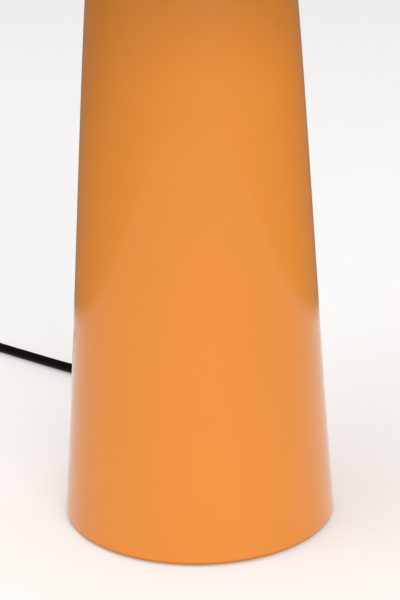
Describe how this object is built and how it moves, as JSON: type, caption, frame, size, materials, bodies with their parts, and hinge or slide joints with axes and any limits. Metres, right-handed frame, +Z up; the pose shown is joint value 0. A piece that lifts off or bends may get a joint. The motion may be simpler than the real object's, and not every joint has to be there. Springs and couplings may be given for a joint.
{
  "type": "table lamp",
  "caption": "Metal table lamp: tall tapered body of revolution in gloss orange lacquer, domed lift-off shade on an inner gallery, screw-in bulb, black mains lead with in-line switch.",
  "frame": {"origin": "on the table, under the middle of the foot", "axes": "+Z up along the lamp's axis of revolution; the lead leaves the body on +Y (the back) and lies away towards -X"},
  "size_m": [0.4255, 0.4195, 0.45],
  "materials": {
    "felt": "dense black felt",
    "zinc_steel": "zinc-plated steel",
    "cast_iron": "raw casting, dark",
    "orange_lacquer": "high-gloss orange lacquer on spun sheet, the shade's inside white",
    "white_metal": "white powder coat",
    "clear_rubber": "translucent silicone",
    "white_plastic": "white thermoset, satin",
    "ceramic": "glazed ceramic",
    "brass": "bare stamped brass",
    "opal_glass": "opal white glass, satin",
    "nickel": "nickel-plated brass",
    "black_glass": "black vitrite",
    "solder": "soft solder, dull",
    "black_pvc": "smooth black PVC, slight sheen",
    "core_pvc": "blue and brown core insulation",
    "black_plastic": "fine-textured black moulding",
    "black_gloss": "smooth black moulding"
  },
  "bodies": {
    "lamp": {"felt_pad": "felt", "bottom_plate": "zinc_steel", "plate_screws": "zinc_steel", "base_weight": "cast_iron", "stem_washer": "zinc_steel", "stem_nut_lower": "zinc_steel", "stem_tube": "zinc_steel", "body_shell": "orange_lacquer", "neck_cup": "zinc_steel", "stem_nut_upper": "zinc_steel", "gallery": "white_metal", "gallery_sleeves": "clear_rubber", "shade_ring": "white_plastic", "holder_cap": "white_plastic", "holder_skirt": "white_plastic", "holder_insert": "ceramic", "holder_thread_shell": "brass", "holder_contact": "brass", "holder_terminals": "brass", "terminal_screws": "zinc_steel", "cord_grommet": "black_pvc", "inner_sheath": "black_pvc", "inner_cores": "core_pvc", "cord_clamp": "zinc_steel", "clamp_screws": "zinc_steel", "cord_lead": "black_pvc", "switch_base": "black_plastic", "switch_cover": "black_plastic", "switch_terminals": "brass", "switch_screws": "zinc_steel", "cord_tail": "black_pvc", "cord_coil": "black_pvc", "cord_end": "black_pvc", "plug_body": "black_plastic", "plug_pins": "nickel"},
    "shade": {"shade": "orange_lacquer"},
    "bulb_foot": {"bulb_tip": "solder"},
    "bulb": {"bulb_glass": "opal_glass", "bulb_cap": "nickel", "bulb_insulator": "black_glass"},
    "rocker": {"switch_rocker": "black_gloss"}
  },
  "joints": [
    {"name": "shade_lift", "type": "slide", "parent": "lamp", "child": "shade", "axis": [0, 0, 1], "range_m": [0, 0.2]},
    {"name": "bulb_lift", "type": "slide", "parent": "lamp", "child": "bulb_foot", "axis": [0, 0, 1], "range_m": [0, 0.0218]},
    {"name": "bulb_turn", "type": "hinge", "parent": "bulb_foot", "child": "bulb", "pos_m": [0, 0, 0.35], "axis": [0, 0, 1], "range_deg": [0, 2160]},
    {"name": "rocker_tip", "type": "hinge", "parent": "lamp", "child": "rocker", "pos_m": [-0.208, 0.256, 0.0115], "axis": [0, -1, 0], "range_deg": [0, 16]}
  ],
  "couplings": [
    {"joint": "bulb_lift", "follows": "bulb_turn", "m_per_rad": 0.00057773}
  ]
}
